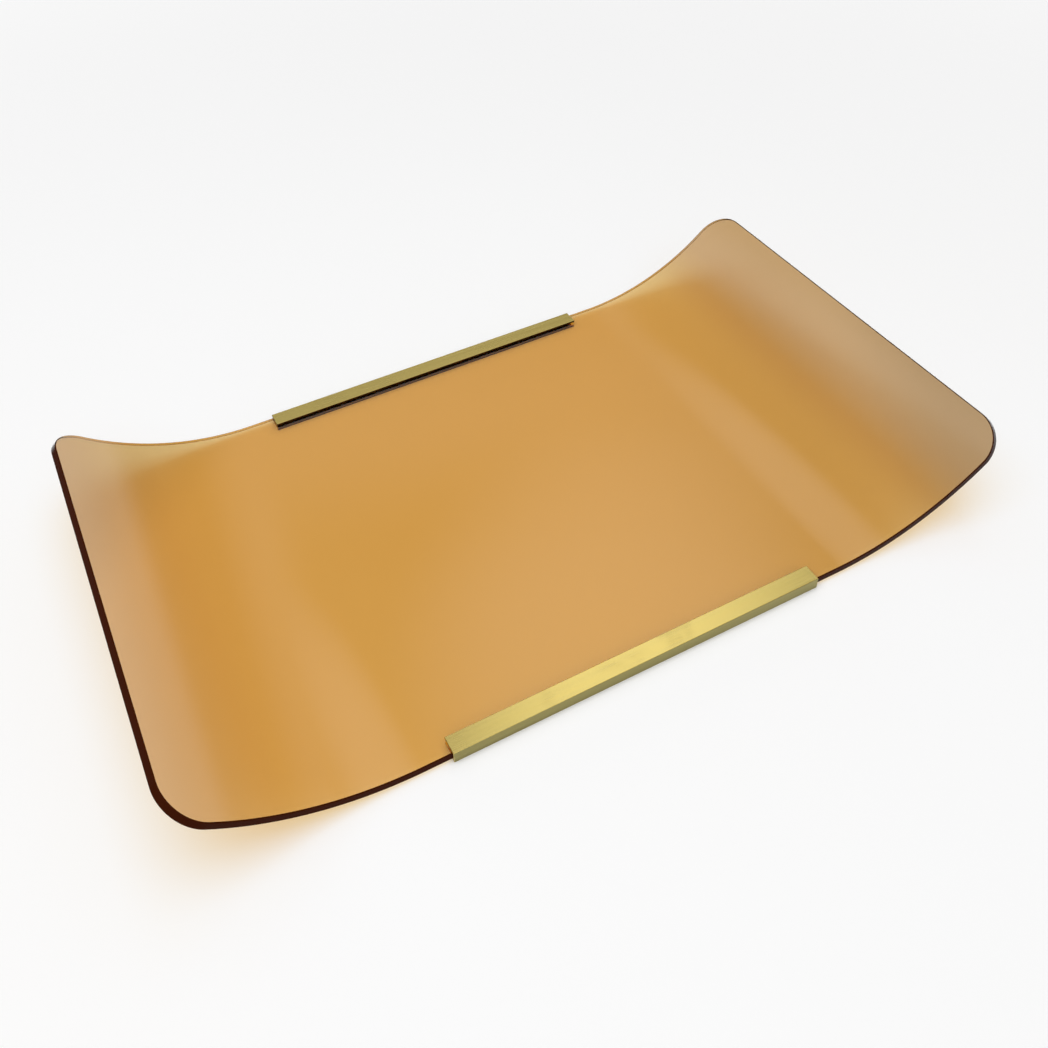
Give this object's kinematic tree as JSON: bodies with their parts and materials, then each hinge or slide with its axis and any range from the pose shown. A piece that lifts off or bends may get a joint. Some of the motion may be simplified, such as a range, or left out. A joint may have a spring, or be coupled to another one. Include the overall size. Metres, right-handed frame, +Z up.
{
  "type": "acrylic tray",
  "caption": "Shallow rectangular tray of clear amber acrylic, flat in the middle with both ends swept up, and a brass channel on the middle of each long edge.",
  "frame": {"origin": "centre of the bounding box in plan, on the surface that the brass channels stand on", "axes": "+X along the tray, +Y across it from the front channel to the rear one, +Z up"},
  "size_m": [0.5212, 0.3032, 0.0603],
  "materials": {
    "amber_acrylic": "transparent amber cast acrylic, polished on both faces and on the edges, which look dark red-brown",
    "brushed_brass": "fine lengthwise brushing, satin, with slightly eased edges",
    "clear_adhesive": "clear cured adhesive film"
  },
  "bodies": {
    "root": {"tray_sheet": "amber_acrylic", "front_brass_channel": "brushed_brass", "rear_brass_channel": "brushed_brass", "front_bond_line": "clear_adhesive", "rear_bond_line": "clear_adhesive"}
  },
  "joints": []
}
